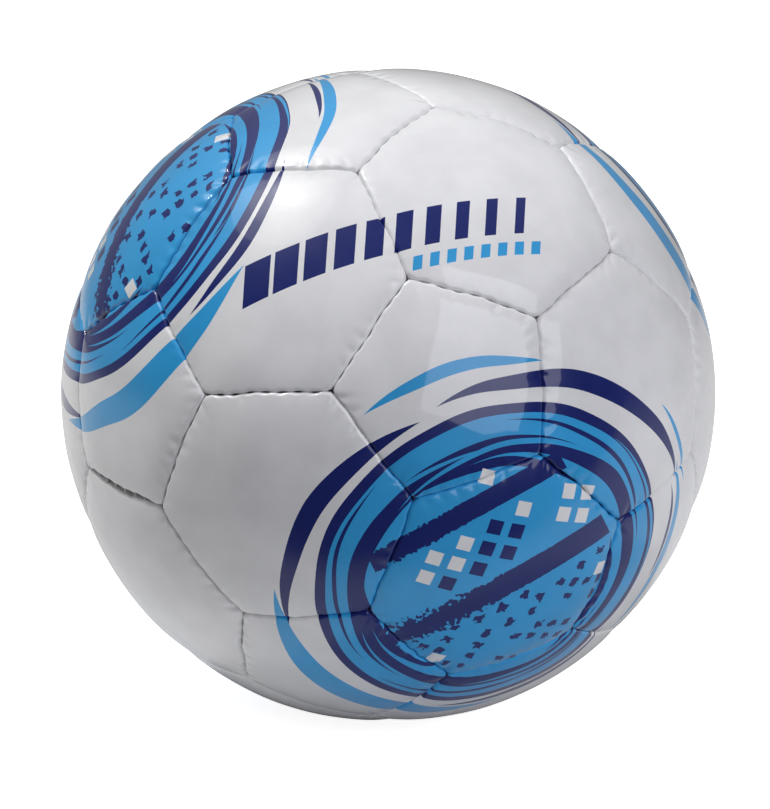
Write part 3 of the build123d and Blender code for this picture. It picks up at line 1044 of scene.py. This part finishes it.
def area_light(name, towards, distance, width, height, radiance, shape="RECTANGLE",
               colour=(1, 1, 1), roll=0.0):
    """A softbox in that direction from the ball, facing it, rolled by that many degrees."""
    lamp = bpy.data.lights.new(name, "AREA")
    lamp.shape = shape
    lamp.color = colour
    lamp.size = width
    lamp.size_y = height
    area = width * height * (math.pi / 4 if shape == "ELLIPSE" else 1)
    lamp.energy = radiance * math.pi * area
    made = bpy.data.objects.new(name, lamp)
    place = Vector(towards).normalized() * distance
    made.location = place
    turned = Quaternion((0, 0, 1), math.radians(roll))
    made.rotation_euler = (place.to_track_quat("Z", "Y") @ turned).to_euler()
    bpy.context.scene.collection.objects.link(made)


def build_camera():
    tilt = math.radians(CAMERA_ELEVATION)
    right = Vector((1, 0, 0))
    up = Vector((0, math.sin(tilt), math.cos(tilt)))
    back = Vector((0, -math.cos(tilt), math.sin(tilt)))
    data = bpy.data.cameras.new("camera")
    data.sensor_width = 36
    image_radius = BALL_SHARE_OF_WIDTH / 2 * FRAME_ASPECT * data.sensor_width
    tangent = BALL_RADIUS / math.sqrt(CAMERA_DISTANCE ** 2 - BALL_RADIUS ** 2)
    data.lens = image_radius / tangent
    camera = bpy.data.objects.new("camera", data)
    aim = (right * AIM_RIGHT + up * AIM_UP) * BALL_RADIUS
    camera.location = aim + back * CAMERA_DISTANCE
    camera.rotation_euler = back.to_track_quat("Z", "Y").to_euler()
    bpy.context.scene.collection.objects.link(camera)
    bpy.context.scene.camera = camera


def build_floor():
    cuts = FLOOR_CUTS
    steps = np.linspace(-FLOOR_HALF, FLOOR_HALF, cuts + 1)
    points = [(x, y, -BALL_RADIUS - 0.4 * MM) for y in steps for x in steps]
    faces = []
    for row in range(cuts):
        for column in range(cuts):
            first = row * (cuts + 1) + column
            faces.append((first, first + 1, first + cuts + 2, first + cuts + 1))
    g = new_graph("floor_paper")
    y = g.separate(g.place)[1]
    sheet = g.ramp(y + g.noise(0.1, 2) * 0.02, PAPER_FRONT, PAPER_FRONT + 0.05,
                   DARK_FLOOR_TONE, PAPER_TONE)
    tone = sheet + g.seen_by_camera() * (SEEN_FLOOR_TONE - sheet)
    paper = g.shader(tone, 0.9, g.bump(g.noise(2 * MM, 2), 0.02 * MM, 0.2))
    glow = g.nodes.new("ShaderNodeEmission")
    g.feed(glow.inputs["Strength"], g.seen_by_camera() * FLOOR_GLOW)
    both = g.nodes.new("ShaderNodeAddShader")
    g.links.new(paper, both.inputs[0])
    g.links.new(glow.outputs[0], both.inputs[1])
    floor = make_object("floor", points, faces, g.finish(both.outputs[0]))


def build_world():
    """White to the camera; to the ball, bright above and behind, and dim in front."""
    world = bpy.data.worlds.new("studio")
    bpy.context.scene.world = world
    g = Graph(world, "Generated")
    x, y, z = g.separate(g.place)
    glow = g.ramp(y, -0.25, 0.35, DOME_FRONT, DOME_BACK) + g.ramp(z, 0.35, 0.85, 0.0, DOME_TOP)
    seen = g.seen_by_camera()
    background = g.nodes.new("ShaderNodeBackground")
    g.feed(background.inputs["Strength"], glow * (1 - seen) + seen)
    g.finish(background.outputs[0], "ShaderNodeOutputWorld")


def main():
    build_camera()
    build_panels(leather())
    build_thread(thread_material())
    build_foam(foam("damping_foam", (0.26, 0.22, 0.13, 1), (0.72, 0.66, 0.48, 1), 1.8 * MM))
    butyl = rubber("butyl_rubber", (0.018, 0.018, 0.020, 1), (0.16, 0.16, 0.16, 1), 0.42)
    give(butyl, "bladder")
    give(rubber("patch_rubber", (0.03, 0.03, 0.032, 1), (0.20, 0.20, 0.20, 1), 0.5),
         "valve_patch", "balance_patch")
    give(rubber("valve_rubber", (0.50, 0.50, 0.50, 1), (0.74, 0.74, 0.73, 1), 0.35), "valve_body")
    give(rubber("valve_core_rubber", (0.05, 0.05, 0.055, 1), (0.22, 0.22, 0.22, 1), 0.3),
         "valve_core")
    give(cloth(), "pentagon_cloth_layers", "hexagon_cloth_layers")
    give(foam("laminated_foam", (0.50, 0.49, 0.46, 1), (0.86, 0.85, 0.80, 1), 0.6 * MM),
         "pentagon_foam_layers", "hexagon_foam_layers")
    build_floor()
    build_world()
    for width, radiance in KEY_STEPS:
        area_light(f"key_{width:.2f}", KEY_DIRECTION, KEY_DISTANCE, width, KEY_FLATNESS * width,
                   radiance, "ELLIPSE")
    area_light("right_softbox", SOFTBOX_DIRECTION, SOFTBOX_DISTANCE, *SOFTBOX_SIZE,
               SOFTBOX_RADIANCE, colour=SOFTBOX_COLOUR, roll=SOFTBOX_ROLL)
    bpy.context.scene.view_settings.view_transform = "Standard"


main()
